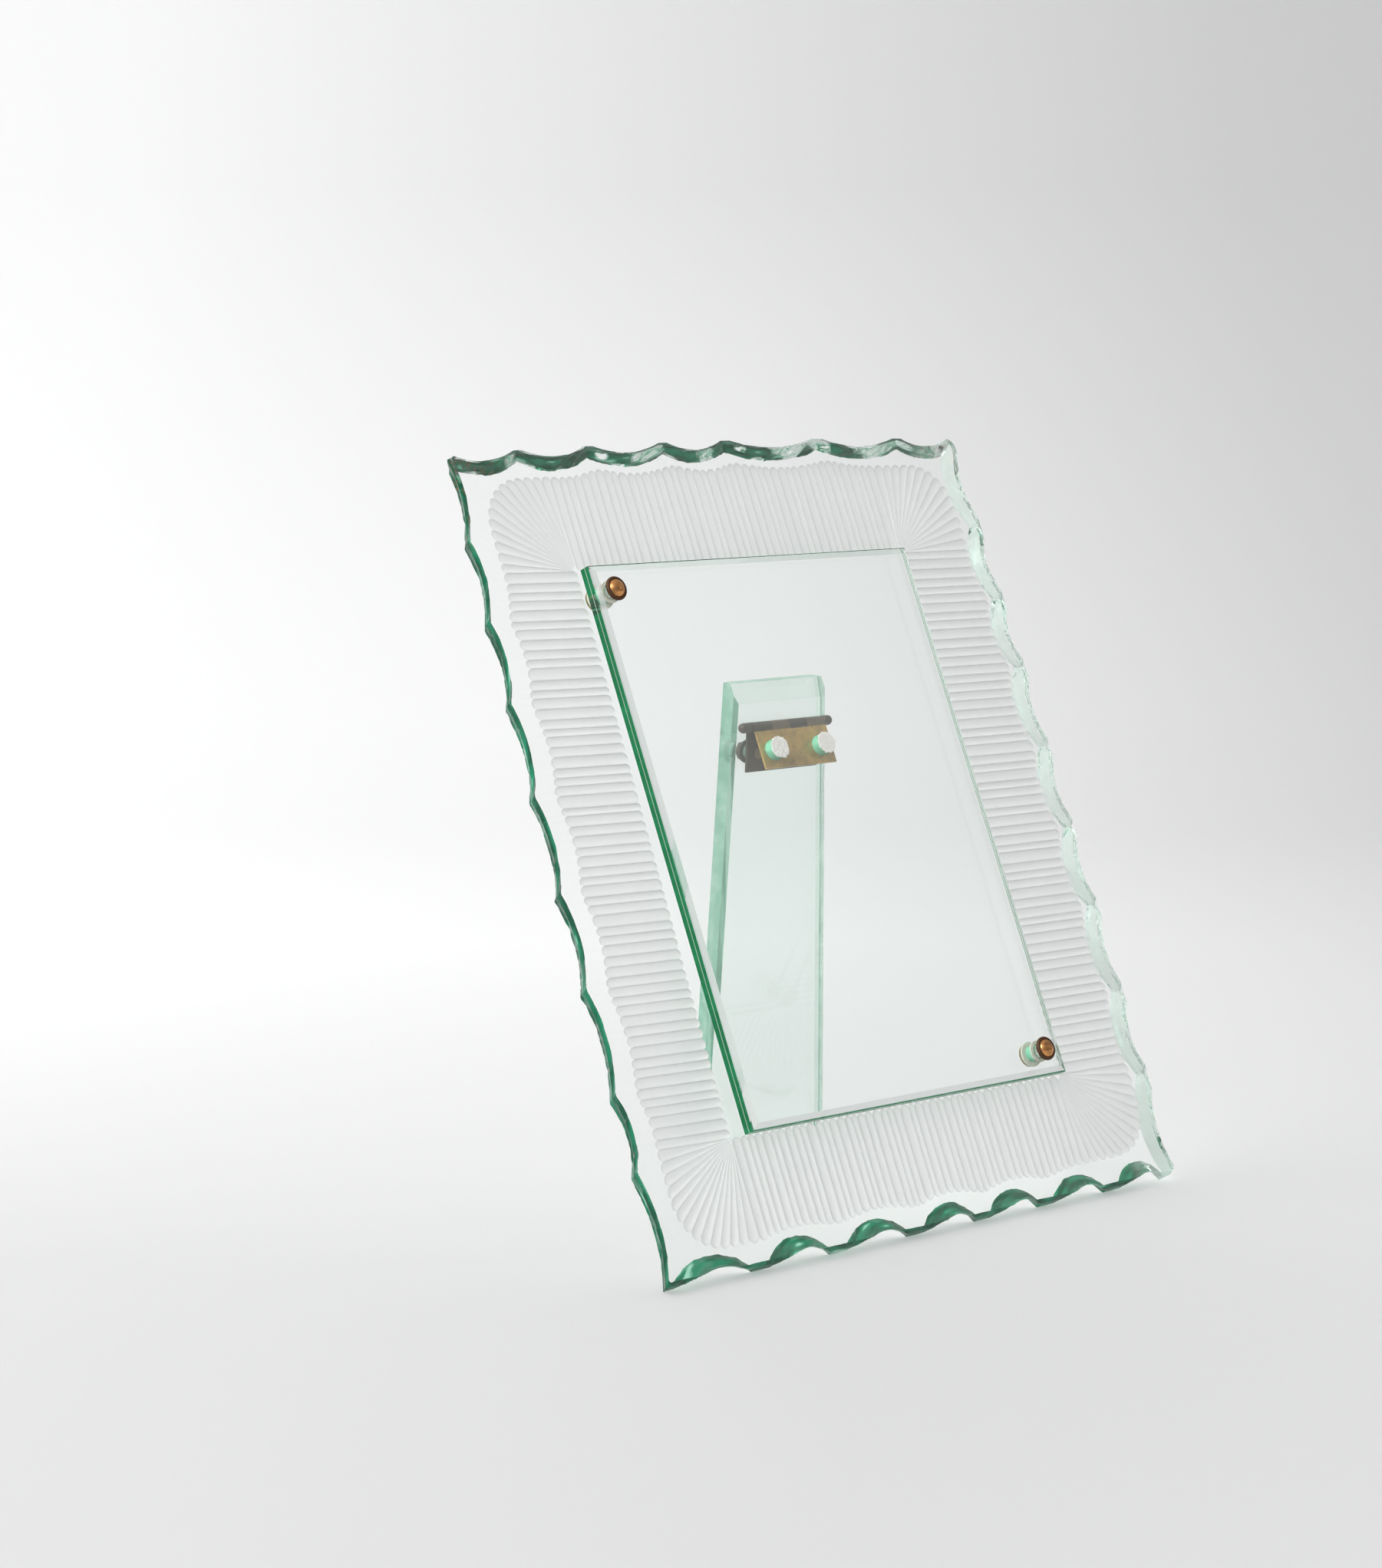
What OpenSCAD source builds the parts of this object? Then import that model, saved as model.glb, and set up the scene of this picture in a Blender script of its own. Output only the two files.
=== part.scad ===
// Glass easel picture frame: a hand-chipped, fluted back plate, a bevelled front
// panel held by two domed brass buttons, and a glass strut on a brass butt hinge.
// Millimetres. The plate leans back; the strut stands almost upright behind it.

/* [Back plate] */
// Width of the plate across its bottom corners
plate_w = 298.5; // [270:0.5:330]
// Height of the plate, measured along its slope
plate_h = 345; // [320:0.5:380]
// Thickness of the plate
plate_t = 8; // [6:0.5:12]
// How far the top left corner stands in from the bottom left one
top_left_in = 8.5; // [0:0.5:12]
// How far the top right corner stands out from the bottom right one
top_right_out = 4; // [0:0.5:10]
// How far each side bellies out at its middle
side_belly = 2.5; // [0:0.5:6]

/* [Chipped edge] */
// Depth of a hollow on the front face
hollow_front = 3.5; // [2:0.5:6]
// Depth of a hollow on the back face
hollow_back = 9.5; // [6:0.5:12]
// How far the ridges between hollows are cut back on the back face
ridge_back = 2.5; // [0:0.5:4]
// Width of the small flats left between the hollows of the bottom edge
foot_land = 2; // [1:0.5:5]
// Slant of the hollows along the edge, in degrees
hollow_slant = 12; // [0:1:20]
// Number of small facets in the curve of a hollow
chip_facets = 9; // [5:1:16]

/* [Flutes] */
// Spacing of the flutes along the sides
flute_pitch = 4.1; // [3.5:0.1:6]
// Depth of a flute
flute_depth = 0.8; // [0.4:0.05:1.5]
// How far the crests between flutes lie below the face
crest_drop = 0.05; // [0.03:0.01:0.2]
// How far a flute's blunt tip stands out, as a share of its width
flute_tip = 0.35; // [0.1:0.05:0.5]
// Clear margin between the flutes and the edge of the plate
flute_margin = 11; // [8:0.5:16]
// Rise and fall of the outer flute ends, which follow the hollows
flute_wave = 3; // [0:0.5:5]
// Gap between the panel's left edge and the flutes, at the panel's top
band_left_top = 1; // [0:0.5:8]
// The same gap at the panel's bottom
band_left_bottom = 7; // [0:0.5:8]
// How far the flutes stand off the panel's right edge, at the panel's top
band_right_top = 2.5; // [-1:0.5:8]
// The same at the panel's bottom, where they run in under the panel
band_right_bottom = -0.5; // [-1:0.5:8]
// How much wider the flutes are at the corners than along the sides
fan_spread = 1.1; // [1:0.05:1.5]
// Small land left on either side of each corner of the fluted band
fan_land = 0.2; // [0.1:0.1:1]
// Radius of the fluted band's outer corners
flute_corner_r = 22; // [12:1:30]

/* [Front panel] */
// Width of the front panel
panel_w = 185; // [160:1:200]
// Height of the front panel
panel_h = 240; // [200:1:260]
// Thickness of the front panel
panel_t = 6; // [4:0.5:8]
// Width of the ground bevel round the front panel
panel_bevel_w = 3; // [1:0.5:6]
// Depth of that bevel at the panel's edge
panel_bevel_d = 0.9; // [0.3:0.1:2]
// Space for the picture between panel and plate
picture_gap = 0.6; // [0.3:0.1:2]

/* [Brass buttons] */
// Distance of a button from the panel's side
button_inset_x = 10; // [8:0.5:20]
// Distance of a button from the panel's top or bottom
button_inset_y = 11; // [8:0.5:20]
// Diameter of a button
button_d = 10.4; // [9:0.2:14]
// Height of a button's rolled rim
button_rim_h = 2.1; // [1.5:0.1:3]
// Height of the dome above the rim
button_dome_h = 1.7; // [1:0.1:3]
// Diameter of the threaded stud
stud_d = 4; // [3:0.5:5]
// Diameter of the stud holes in both glasses
stud_hole_d = 7; // [6:0.5:8]
// Depth of the threaded bore in a button
button_bore = 2.5; // [1.5:0.1:3]
// Width of the rolled rim round the dome
rim_w = 0.9; // [0.5:0.1:1.5]
// Depth of the groove between rim and dome
rim_groove = 0.3; // [0.1:0.05:0.5]
// Outer diameter of the spacer rings between the glasses
spacer_d = 9.5; // [9:0.5:14]
// Thickness of the washers behind the plate
back_washer_t = 0.8; // [0.5:0.1:2]
// Diameter of the flat head on the back of a stud
stud_head_d = 10; // [9:0.5:14]
// Thickness of that head
stud_head_t = 1.6; // [1:0.1:3]

/* [Hinge] */
// Height of the hinge pin above the panel's middle
hinge_height = 48; // [20:1:60]
// Length of the two leaves along the pin
leaf_len = 41; // [34:1:50]
// Height of a leaf below its barrel
leaf_h = 17; // [14:0.5:19]
// Thickness of the leaf brass
leaf_t = 1.1; // [0.8:0.1:1.5]
// Outer diameter of the barrel
barrel_d = 4.3; // [3.8:0.1:6]
// How far the barrel stands back from the glass
barrel_setback = 0.3; // [0.2:0.05:1]
// Diameter of the hinge pin
pin_d = 2.2; // [1.6:0.1:2.6]
// Gap between neighbouring knuckles
knuckle_gap = 0.2; // [0.1:0.05:0.5]
// Slot between a leaf and the other leaf's knuckles
leaf_slot = 0.5; // [0.4:0.1:1]
// Length of each bullet-shaped pin end
pin_end = 6; // [3:0.5:8]
// Distance of the hinge holes from the ends of a leaf
leaf_hole_in = 6.8; // [5:0.2:9]
// Distance of the hinge holes below the pin
leaf_hole_down = 11.5; // [8:0.5:12]

/* [Screws and plaster] */
// Diameter of the plastered holes in the plate
plug_d = 9; // [7:0.5:11]
// Diameter of the hinge screws and strut bolts
screw_d = 3; // [2:0.5:4]
// Diameter of their countersunk heads
head_d = 5; // [4.5:0.1:6]
// Height of those heads
head_t = 0.9; // [0.5:0.1:1]
// How deep a hinge screw reaches into its plaster
screw_len = 6; // [3:0.5:7]

/* [Strut] */
// Width of the strut at its top
strut_top_w = 53; // [46:1:60]
// Width of the strut at its foot
strut_foot_w = 72; // [60:1:90]
// Thickness of the strut
strut_t = 10; // [8:0.5:12]
// How far the strut reaches above the pin
strut_above = 18; // [14:1:22]
// Width of the small bevels along the strut
strut_bevel = 1.6; // [0.5:0.1:3]
// Diameter of the bolt holes in the strut
strut_hole_d = 6.5; // [5:0.5:8]
// Outer diameter of the washers behind the strut
washer_d = 10; // [9:0.5:14]
// Thickness of those washers
washer_t = 1; // [0.5:0.1:2]
// Width across flats of the strut nuts
nut_w = 7; // [6:0.5:9]
// Thickness of the strut nuts
nut_t = 3; // [2:0.1:4]

/* [Stance] */
// Lean of the plate from upright, in degrees
lean = 24; // [15:1:30]
// Angle between plate and strut when open, in degrees
open_angle = 26.5; // [20:0.5:35]
// Gap left between the strut's ground top and the plate when open
stop_gap = 0.2; // [0.1:0.05:0.5]

/* [Hidden] */
eps = 0.01;
// Running clearance round pins and threads
fit = 0.05;
// Clearance under a button
seat_gap = 0.05;

// Where the ridges between the hollows stand, as shares of each side
LEFT_RIDGES = [0, 0.13, 0.22, 0.345, 0.46, 0.575, 0.69, 0.79, 0.89, 1];
RIGHT_RIDGES = [0, 0.135, 0.245, 0.36, 0.465, 0.575, 0.685, 0.78, 0.88, 1];
TOP_RIDGES = [0, 0.13, 0.26, 0.405, 0.525, 0.715, 0.885, 1];
BOTTOM_RIDGES = [0, 0.175, 0.32, 0.47, 0.605, 0.735, 0.875, 1];

// Corners of the plate, in its own plane, about the middle of the panel
bottom_left = [-plate_w / 2 - 2.25, -plate_h / 2];
bottom_right = [plate_w / 2 - 2.25, -plate_h / 2];
top_left = [bottom_left.x + top_left_in, plate_h / 2];
top_right = [bottom_right.x + top_right_out, plate_h / 2];

function unit(v) = v / norm(v);
function outward(a, b) = [unit(b - a).y, -unit(b - a).x];
function side_points(a, b, shares, belly) =
    [for (f = shares) a + (b - a) * f + outward(a, b) * belly * 4 * f * (1 - f)];

// The sides run anticlockwise, so that outward() points away from the plate
function reversed(list) = [for (i = [len(list) - 1:-1:0]) list[i]];
bottom_side = side_points(bottom_left, bottom_right, BOTTOM_RIDGES, 0);
right_side = side_points(bottom_right, top_right, RIGHT_RIDGES, side_belly);
top_side = side_points(top_right, top_left, [for (f = reversed(TOP_RIDGES)) 1 - f], side_belly);
left_side = side_points(top_left, bottom_left, [for (f = reversed(LEFT_RIDGES)) 1 - f], side_belly);
sides = [bottom_side, right_side, top_side, left_side];
SIDE_RIDGES = [
    BOTTOM_RIDGES, RIGHT_RIDGES,
    [for (f = reversed(TOP_RIDGES)) 1 - f], [for (f = reversed(LEFT_RIDGES)) 1 - f]
];
// Corners of the fluted band's inner line, in the order of the sides
band_corners = [
    [-panel_w / 2 - band_left_bottom, -panel_h / 2], [panel_w / 2 + band_right_bottom, -panel_h / 2],
    [panel_w / 2 + band_right_top, panel_h / 2], [-panel_w / 2 - band_left_top, panel_h / 2]
];
plate_outline = [for (side = sides) for (i = [0:len(side) - 2]) side[i]];

// Offsets along the plate's normal: 0 is its front face
panel_back = picture_gap;
panel_front = picture_gap + panel_t;
plate_back = -plate_t;
barrel_reach = barrel_d / 2 + barrel_setback;
pin_n = plate_back - barrel_reach;

// Height of the plate's middle above the table, and centring of the whole
stand_z = plate_h / 2 * cos(lean) + plate_t * sin(lean);
all_x = [for (p = plate_outline) p.x];
mid_x = (min(all_x) + max(all_x)) / 2;
front_y = -plate_h / 2 * sin(lean);
back_y = (plate_h / 2 + side_belly - ridge_back) * sin(lean) + plate_t * cos(lean);
mid_y = (front_y + back_y) / 2;

button_x = panel_w / 2 - button_inset_x;
button_y = panel_h / 2 - button_inset_y;
hinge_x = leaf_len / 2 - leaf_hole_in;
knuckle = leaf_len / 4;

// Places its children in the plate's plane: x across, y up the slope, z out of the front
module on_plate() {
    translate([-mid_x, -mid_y, stand_z]) rotate([90 - lean, 0, 0]) children();
}

// Places its children on the strut: y runs up the strut from the pin, z towards the plate
module on_strut() {
    on_plate() translate([0, hinge_height, pin_n]) rotate([open_angle, 0, 0]) children();
}

// One hollow between ridges a and b: a round wheel laid askew, so that the back is cut deeper
module hollow(a, b, setback, land, slant) {
    chord = norm(b - a) - land;
    out = outward(a, b);
    tilt = atan((hollow_back - hollow_front) / plate_t);
    rise = (hollow_back - setback) * cos(tilt);
    wheel_r = (chord * chord / 4 + rise * rise) / (2 * rise);
    sweep = asin(min(0.9, (chord / 2 + ridge_back) / wheel_r));
    shoulder = wheel_r * sin(sweep);
    rim = [for (i = [-chip_facets:2:chip_facets]) let (turn = sweep * i / chip_facets)
        wheel_r * [1 - cos(turn), sin(turn)]];
    deepest = (a + b) / 2 - out * hollow_back;
    translate([deepest.x, deepest.y, plate_back])
        rotate([0, 0, atan2(out.y, out.x)])
            rotate([slant, tilt, 0])
                translate([0, 0, -2 * plate_t]) linear_extrude(5 * plate_t)
                    polygon(concat(rim, [[3 * hollow_back, shoulder], [3 * hollow_back, -shoulder]]));
}

module chipped_edge() {
    for (s = [0:3])
        for (i = [0:len(sides[s]) - 2])
            hollow(
                sides[s][i], sides[s][i + 1],
                s == 0 ? 0 : ridge_back,
                s == 0 ? foot_land : 0,
                hollow_slant * (s % 2 == 0 ? 1 : -1)
            );
}

// Share of a hollow passed at share f of a side, from 0 at one ridge to 1 at the next
function hollow_share(f, shares) =
    let (i = max(0, min(len(shares) - 2, len([for (x = shares) if (x <= f) x]) - 1)))
    (f - shares[i]) / (shares[i + 1] - shares[i]);

// Distance from a point on the band's inner line to the wavy line where the flutes end
function flute_reach(p, s) =
    let (
        a = sides[s][0],
        b = sides[s][len(sides[s]) - 1],
        out = outward(a, b),
        f = (p - a) * unit(b - a) / norm(b - a),
        belly = (s == 0 ? 0 : side_belly) * 4 * f * (1 - f),
        wave = flute_wave * sin(180 * hollow_share(f, SIDE_RIDGES[s]))
    )
    (a - p) * out + belly - flute_margin - wave;

// Point at share q of the rounded corner path between reach a (first side) and reach b (second)
function corner_path(q, a, b, r) =
    let (
        arc = PI / 2 * r,
        along = q * (a + b - 2 * r + arc),
        turn = (along - (b - r)) / r * 180 / PI
    )
    along < b - r ? [a, along]
    : along < b - r + arc ? [a - r + r * cos(turn), b - r + r * sin(turn)]
    : [a - r - (along - (b - r) - arc), b];

// Cross-section of a flute, as [share of its width, share of its depth]
FLUTE_SECTION = [[0, 0], [0.27, 1], [0.73, 1]];

// Outline of the outer ends of a row of flutes: blunt tips standing out between the crest lines
function blunt_ends(crests) = [
    for (i = [0:len(crests) - 2])
        let (a = crests[i], b = crests[i + 1], tip = outward(b, a) * norm(b - a) * flute_tip)
        each [a, a + (b - a) * 0.25 + tip, a + (b - a) * 0.75 + tip],
    crests[len(crests) - 1]
];

// The straight flutes along side s: a comb of shallow troughs, trimmed to the wavy outline
module fluted_side(s) {
    land = unit(band_corners[(s + 1) % 4] - band_corners[s]) * fan_land;
    a = band_corners[s] + land;
    b = band_corners[(s + 1) % 4] - land;
    out = outward(a, b);
    count = floor(norm(b - a) / flute_pitch);
    pitch = norm(b - a) / count;
    ends = [for (i = [0:count]) let (p = a + (b - a) * i / count) p + out * flute_reach(p, s)];
    comb = [
        for (i = [0:count - 1], q = FLUTE_SECTION)
            [(i + q.x) * pitch, -crest_drop - (flute_depth - crest_drop) * q.y]
    ];
    intersection() {
        translate([a.x, a.y, 0]) rotate([0, 0, atan2(b.y - a.y, b.x - a.x)])
            rotate([90, 0, 0]) linear_extrude(plate_h / 4)
                polygon(concat(comb, [[count * pitch, -crest_drop], [count * pitch, 1], [0, 1]]));
        translate([0, 0, -flute_depth - 1]) linear_extrude(flute_depth + 1.5)
            polygon(concat([b, a], blunt_ends(ends)));
    }
}

// The fan of flutes at the corner after side s: troughs that widen and deepen from one point
module fluted_corner(s) {
    out = outward(band_corners[s], band_corners[(s + 1) % 4]);
    next = outward(band_corners[(s + 1) % 4], band_corners[(s + 2) % 4]);
    root = band_corners[(s + 1) % 4] + (out + next) * fan_land;
    reach_a = flute_reach(root, s);
    reach_b = flute_reach(root, (s + 1) % 4);
    path = reach_a + reach_b - (2 - PI / 2) * flute_corner_r;
    fan = round(path / flute_pitch / fan_spread);
    ends = blunt_ends([
        for (i = [0:fan])
            let (q = corner_path(i / fan, reach_a, reach_b, flute_corner_r)) root + out * q.x + next * q.y
    ]);
    n = len(ends);
    floors = [for (i = [0:n - 1]) [ends[i].x, ends[i].y, i % 3 == 0 ? -crest_drop : -flute_depth]];
    tops = [for (p = ends) [p.x, p.y, 0.5]];
    polyhedron(
        concat([[root.x, root.y, -crest_drop]], floors, [[root.x, root.y, 0.5]], tops),
        concat(
            [for (i = [1:n - 1]) [0, i, i + 1]],
            [for (i = [1:n - 1]) [i, i + n + 1, i + n + 2, i + 1]],
            [[1, 0, n + 1, n + 2], [0, n, 2 * n + 1, n + 1]],
            [[for (i = [2 * n + 1:-1:n + 1]) i]]
        )
    );
}

module main_plate() {
    color("mediumaquamarine", 0.5) on_plate() difference() {
        translate([0, 0, plate_back]) linear_extrude(plate_t) polygon(plate_outline);
        chipped_edge();
        for (s = [0:3]) {
            fluted_side(s);
            fluted_corner(s);
        }
        for (side = [-1, 1]) {
            translate([-side * button_x, side * button_y, plate_back - eps])
                cylinder(d = stud_hole_d, h = plate_t + 2 * eps, $fn = 48);
            translate([side * hinge_x, hinge_height - leaf_hole_down, plate_back - eps])
                cylinder(d = plug_d, h = plate_t + 2 * eps, $fn = 48);
        }
    }
}

// A triangular prism that grinds a bevel along an edge lying on the y axis
module bevel_wheel(width, depth, length) {
    rotate([90, 0, 0])
        translate([0, 0, -length / 2])
            linear_extrude(length) polygon([[-2 * width, depth], [width, -2 * depth], [width, depth]]);
}

module front_panel() {
    color("honeydew", 0.5) on_plate() translate([0, 0, panel_back]) difference() {
        translate([-panel_w / 2, -panel_h / 2, 0]) cube([panel_w, panel_h, panel_t]);
        for (turn = [0:3]) {
            across = turn % 2 == 0 ? panel_w : panel_h;
            rotate([0, 0, 90 * turn]) translate([across / 2, 0, panel_t])
                bevel_wheel(panel_bevel_w, panel_bevel_d, panel_w + panel_h);
        }
        for (side = [-1, 1])
            translate([-side * button_x, side * button_y, -eps])
                cylinder(d = stud_hole_d, h = panel_t + 2 * eps, $fn = 48);
    }
}

// Places its children at a button: side 1 is the upper left one, -1 the lower right one
module at_button(side, n) {
    on_plate() translate([-side * button_x, side * button_y, n]) children();
}

module ring(outer, inner, height) {
    difference() {
        cylinder(d = outer, h = height, $fn = 48);
        translate([0, 0, -eps]) cylinder(d = inner, h = height + 2 * eps, $fn = 48);
    }
}

// Fibre ring that keeps the two glasses apart
module spacer(side) {
    color("ivory") at_button(side, 0) ring(spacer_d, stud_d + 4 * fit, picture_gap);
}

// Domed brass button with a rolled rim, threaded on to its stud
module button(side) {
    rim_r = button_d / 2;
    dome_r = rim_r - rim_w;
    sphere_r = (dome_r * dome_r + button_dome_h * button_dome_h) / (2 * button_dome_h);
    dome_angle = asin(dome_r / sphere_r);
    top = button_rim_h + button_dome_h;
    roll = button_rim_h / 2;
    profile = concat(
        [[0, 0], [rim_r - roll, 0]],
        [for (a = [-60:30:60]) [rim_r - roll + roll * cos(a), roll + roll * sin(a)]],
        [[rim_r - roll, button_rim_h], [dome_r, button_rim_h - rim_groove]],
        [for (i = [6:-1:0]) let (a = dome_angle * i / 6)
            [sphere_r * sin(a), top - sphere_r + sphere_r * cos(a)]]
    );
    color("peru") at_button(side, panel_front + seat_gap) difference() {
        rotate_extrude($fn = 64) polygon(profile);
        translate([0, 0, -eps]) cylinder(d = stud_d + 2 * fit, h = button_bore + eps, $fn = 48);
    }
}

// Threaded stud with a flat head behind the plate
module stud(side) {
    length = plate_t + back_washer_t + panel_front + seat_gap + button_bore - 2 * fit;
    color("goldenrod") at_button(side, plate_back - back_washer_t) union() {
        translate([0, 0, -stud_head_t]) cylinder(d = stud_head_d, h = stud_head_t, $fn = 48);
        translate([0, 0, -eps]) cylinder(d = stud_d, h = length + eps, $fn = 48);
    }
}

module back_washer(side) {
    color("tan") at_button(side, plate_back - back_washer_t)
        ring(stud_head_d + 1, stud_d + 4 * fit, back_washer_t);
}

// Places its children along the pin; the leaf's own side is +z
module knuckles(first) {
    for (k = [first, first + 2])
        translate([-leaf_len / 2 + k * knuckle + knuckle_gap / 2, 0, 0]) {
            rotate([0, 90, 0]) cylinder(d = barrel_d, h = knuckle - knuckle_gap, $fn = 48);
            translate([0, -barrel_d / 2 - leaf_slot - eps, barrel_reach - leaf_t])
                cube([knuckle - knuckle_gap, barrel_d / 2 + leaf_slot + eps, leaf_t]);
        }
}

// A hinge leaf with its two knuckles, about the pin, lying on +z and hanging down -y
module leaf(first) {
    difference() {
        union() {
            knuckles(first);
            translate([-leaf_len / 2, -barrel_d / 2 - leaf_h, barrel_reach - leaf_t])
                cube([leaf_len, leaf_h - leaf_slot, leaf_t]);
        }
        translate([-leaf_len, 0, 0]) rotate([0, 90, 0])
            cylinder(d = pin_d + 2 * fit, h = 2 * leaf_len, $fn = 48);
        for (side = [-1, 1])
            translate([side * hinge_x, -leaf_hole_down, barrel_reach - leaf_t]) {
                translate([0, 0, -eps]) cylinder(d = screw_d + 4 * fit, h = leaf_t + 2 * eps, $fn = 48);
                translate([0, 0, -eps])
                    cylinder(d1 = head_d + 4 * fit, d2 = screw_d + 4 * fit, h = head_t + eps, $fn = 48);
            }
    }
}

module hinge_front_leaf() {
    color("darkgoldenrod") on_plate() translate([0, hinge_height, pin_n]) leaf(1);
}

// The rear leaf is the same pressing turned over, so its knuckles fill the gaps of the first
module hinge_rear_leaf() {
    color("olive") on_strut() mirror([0, 0, 1]) leaf(0);
}

// Pin with two bullet-shaped ends
module hinge_pin() {
    end_r = barrel_d / 2;
    half = leaf_len / 2 + knuckle_gap;
    nose = [for (a = [0:15:90]) [end_r * cos(a), half + pin_end - end_r + end_r * sin(a)]];
    half_profile = concat(
        [[pin_d / 2, half], [end_r - 0.35, half], [end_r - 0.35, half + 0.6], [end_r, half + 1]],
        nose
    );
    profile = concat(
        half_profile, [for (i = [len(half_profile) - 1:-1:0]) [half_profile[i].x, -half_profile[i].y]]
    );
    color("darkkhaki") on_plate() translate([0, hinge_height, pin_n])
        rotate([0, 90, 0]) rotate_extrude($fn = 64) polygon(profile);
}

// Plaster that fills a hole of the plate from face to face and grips a hinge screw
module plaster_plug(side) {
    color("white") on_plate()
        translate([side * hinge_x, hinge_height - leaf_hole_down, plate_back]) difference() {
            cylinder(d = plug_d - 2 * fit, h = plate_t, $fn = 48);
            translate([0, 0, -eps]) cylinder(d = screw_d + 2 * fit, h = screw_len + eps, $fn = 48);
        }
}

// Countersunk screw: its head lies in +z, its shank runs up +z
module flat_head_screw(shank_d, length) {
    union() {
        cylinder(d1 = head_d, d2 = shank_d, h = head_t, $fn = 48);
        translate([0, 0, head_t - eps]) cylinder(d = shank_d, h = length - head_t + eps, $fn = 48);
    }
}

module hinge_screw(side) {
    color("gold") on_plate()
        translate([side * hinge_x, hinge_height - leaf_hole_down, pin_n + barrel_reach - leaf_t])
            flat_head_screw(screw_d, leaf_t + screw_len - 2 * fit);
}

// Glass strut: wider at its foot, ground level there, and bevelled at its top to meet the plate
module strut() {
    reach = stand_z + hinge_height;
    slope = atan((strut_foot_w - strut_top_w) / 2 / (reach + strut_above));
    half = [strut_top_w / 2, strut_top_w / 2 + (reach + strut_above) * tan(slope)];
    color("paleturquoise", 0.6) difference() {
        on_strut() difference() {
            translate([0, 0, -barrel_reach - strut_t]) linear_extrude(strut_t)
                polygon([
                    [-half[0], strut_above], [-half[1], -reach], [half[1], -reach], [half[0], strut_above]
                ]);
            for (side = [-1, 1]) {
                for (face = [0, 1])
                    translate([side * half[0], strut_above, -barrel_reach - strut_t * face])
                        mirror([side < 0 ? 1 : 0, 0, 0]) mirror([0, 0, face])
                            rotate([0, 0, slope]) bevel_wheel(strut_bevel, strut_bevel, 3 * reach);
                translate([side * hinge_x, -leaf_hole_down, -barrel_reach - strut_t - eps])
                    cylinder(d = strut_hole_d, h = strut_t + 2 * eps, $fn = 48);
            }
        }
        // The top is ground off in the plane of the plate's back
        on_plate() translate([-strut_foot_w, 0, plate_back - stop_gap])
            cube([2 * strut_foot_w, 2 * hinge_height, strut_t]);
        // The foot is ground level with the table
        translate([-plate_w, -plate_h, -plate_h]) cube([2 * plate_w, 2 * plate_h, plate_h]);
    }
}

// Places its children on a bolt line of the strut, on the strut's front face
module at_bolt(side) {
    on_strut() translate([side * hinge_x, -leaf_hole_down, -barrel_reach]) children();
}

module strut_bolt(side) {
    length = leaf_t + strut_t + washer_t + nut_t + 1;
    color("gold") at_bolt(side) translate([0, 0, leaf_t]) mirror([0, 0, 1])
        flat_head_screw(screw_d, length);
}

module strut_washer(side) {
    color("dimgray") at_bolt(side) translate([0, 0, -strut_t - washer_t])
        ring(washer_d, screw_d + 4 * fit, washer_t);
}

module strut_nut(side) {
    color("goldenrod") at_bolt(side) translate([0, 0, -strut_t - washer_t - nut_t]) difference() {
        cylinder(d = nut_w / cos(30), h = nut_t, $fn = 6);
        translate([0, 0, -eps]) cylinder(d = screw_d + 2 * fit, h = nut_t + 2 * eps, $fn = 48);
    }
}

main_plate();
front_panel();
spacer(1);  // upper_spacer
spacer(-1);  // lower_spacer
button(1);  // upper_button
button(-1);  // lower_button
stud(1);  // upper_stud
stud(-1);  // lower_stud
back_washer(1);  // upper_back_washer
back_washer(-1);  // lower_back_washer
hinge_front_leaf();
hinge_rear_leaf();
hinge_pin();
plaster_plug(-1);  // left_plaster_plug
plaster_plug(1);  // right_plaster_plug
hinge_screw(-1);  // left_hinge_screw
hinge_screw(1);  // right_hinge_screw
strut();
strut_bolt(-1);  // left_strut_bolt
strut_bolt(1);  // right_strut_bolt
strut_washer(-1);  // left_strut_washer
strut_washer(1);  // right_strut_washer
strut_nut(-1);  // left_strut_nut
strut_nut(1);  // right_strut_nut
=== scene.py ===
import math

import bmesh
import bpy
import numpy as np
from mathutils import Matrix, Vector
from mathutils.geometry import delaunay_2d_cdt


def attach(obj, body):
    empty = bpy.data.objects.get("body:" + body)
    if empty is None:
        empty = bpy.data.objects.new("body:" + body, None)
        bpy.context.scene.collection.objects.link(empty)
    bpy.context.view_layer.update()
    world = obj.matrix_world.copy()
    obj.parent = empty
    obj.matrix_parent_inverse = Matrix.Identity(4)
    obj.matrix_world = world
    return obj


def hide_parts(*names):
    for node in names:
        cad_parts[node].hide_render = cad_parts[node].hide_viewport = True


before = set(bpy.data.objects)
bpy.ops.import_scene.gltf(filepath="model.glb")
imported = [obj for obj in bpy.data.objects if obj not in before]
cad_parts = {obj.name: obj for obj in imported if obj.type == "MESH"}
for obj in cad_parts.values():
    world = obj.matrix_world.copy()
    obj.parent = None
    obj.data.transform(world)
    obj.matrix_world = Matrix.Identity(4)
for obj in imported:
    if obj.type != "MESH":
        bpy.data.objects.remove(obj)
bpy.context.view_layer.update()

# The plate leans back, and the strut stands open at an angle to it
LEAN = math.radians(24)
OPEN_ANGLE = math.radians(26.5)
PLATE_T, HALF_PLATE_H = 8.0, 172.5
# The middle of the box round the frame, and the height of the plate's centre above the table
MID_X, MID_Y = 0.186, 3.654
STAND_Z = HALF_PLATE_H * math.cos(LEAN) + PLATE_T * math.sin(LEAN)
# The hinge pin: up the plate from its centre, and behind its front face
HINGE_V, PIN_N = 48.0, -10.45
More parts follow.
